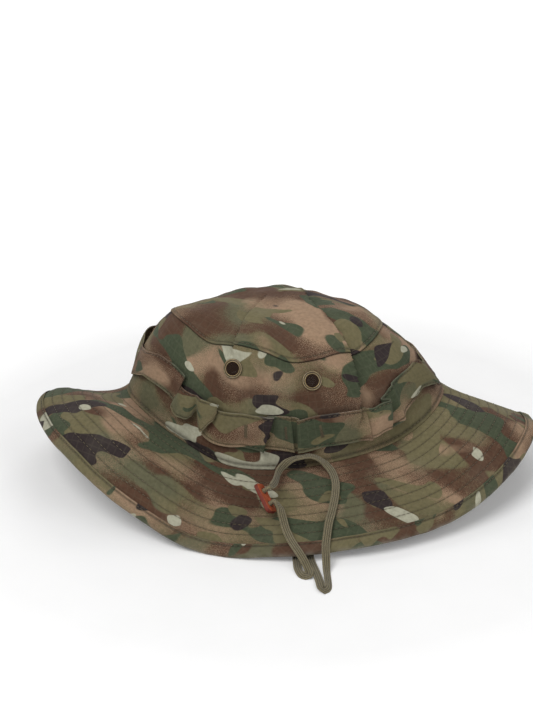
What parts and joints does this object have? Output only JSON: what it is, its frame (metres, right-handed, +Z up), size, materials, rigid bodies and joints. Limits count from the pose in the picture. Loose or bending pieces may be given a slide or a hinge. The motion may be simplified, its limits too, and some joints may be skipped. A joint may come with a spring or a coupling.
{
  "type": "boonie hat",
  "caption": "Soft wide-brimmed sun hat with a sewn crown, vented sides, a looped foliage band, a bound stitched brim and a chin cord with a sliding leather keeper",
  "frame": {"origin": "on the table under the middle of the hat's box, cord left out", "axes": "+X along the hat's length, towards the right of the picture; +Y away from the side that the chin cord comes out of; +Z up through the crown"},
  "size_m": [0.3274, 0.3041, 0.108],
  "materials": {
    "camouflage_cloth": null,
    "band_cloth": "the crown's ripstop folded into a two-layer strap, stitched along both edges",
    "binding_cloth": "matt ripstop folded over the brim's edge and top-stitched",
    "brim_interlining": "plain stiff cotton interlining",
    "sweatband_cloth": "soft matt olive cotton tape",
    "eyelet_brass": "olive-painted brass, rubbed bright on the rim",
    "screen_wire": "blackened woven wire",
    "cord_braid": "flat olive-khaki polyester braid with lengthwise ribs",
    "keeper_leather": "orange-brown leather with darker cut edges"
  },
  "bodies": {
    "hat": {"crown_top_panel": "camouflage_cloth", "crown_side_panel_left": "camouflage_cloth", "crown_side_panel_right": "camouflage_cloth", "brim_top_ply": "camouflage_cloth", "brim_stiffener": "brim_interlining", "brim_under_ply": "camouflage_cloth", "brim_binding": "binding_cloth", "sweatband": "sweatband_cloth", "foliage_band": "band_cloth", "vent_eyelet_1": "eyelet_brass", "vent_eyelet_2": "eyelet_brass", "vent_eyelet_3": "eyelet_brass", "vent_eyelet_4": "eyelet_brass", "vent_washer_1": "eyelet_brass", "vent_washer_2": "eyelet_brass", "vent_washer_3": "eyelet_brass", "vent_washer_4": "eyelet_brass", "vent_screen_1": "screen_wire", "vent_screen_2": "screen_wire", "vent_screen_3": "screen_wire", "vent_screen_4": "screen_wire", "chin_cord_near_run": "cord_braid", "chin_cord_bight": "cord_braid", "chin_cord_far_run": "cord_braid"},
    "keeper": {"cord_keeper": "keeper_leather"}
  },
  "joints": [
    {"name": "keeper_slide", "type": "slide", "parent": "hat", "child": "keeper", "axis": [0.7893, -0.0331, 0.6131], "range_m": [0, 0.0025]}
  ]
}
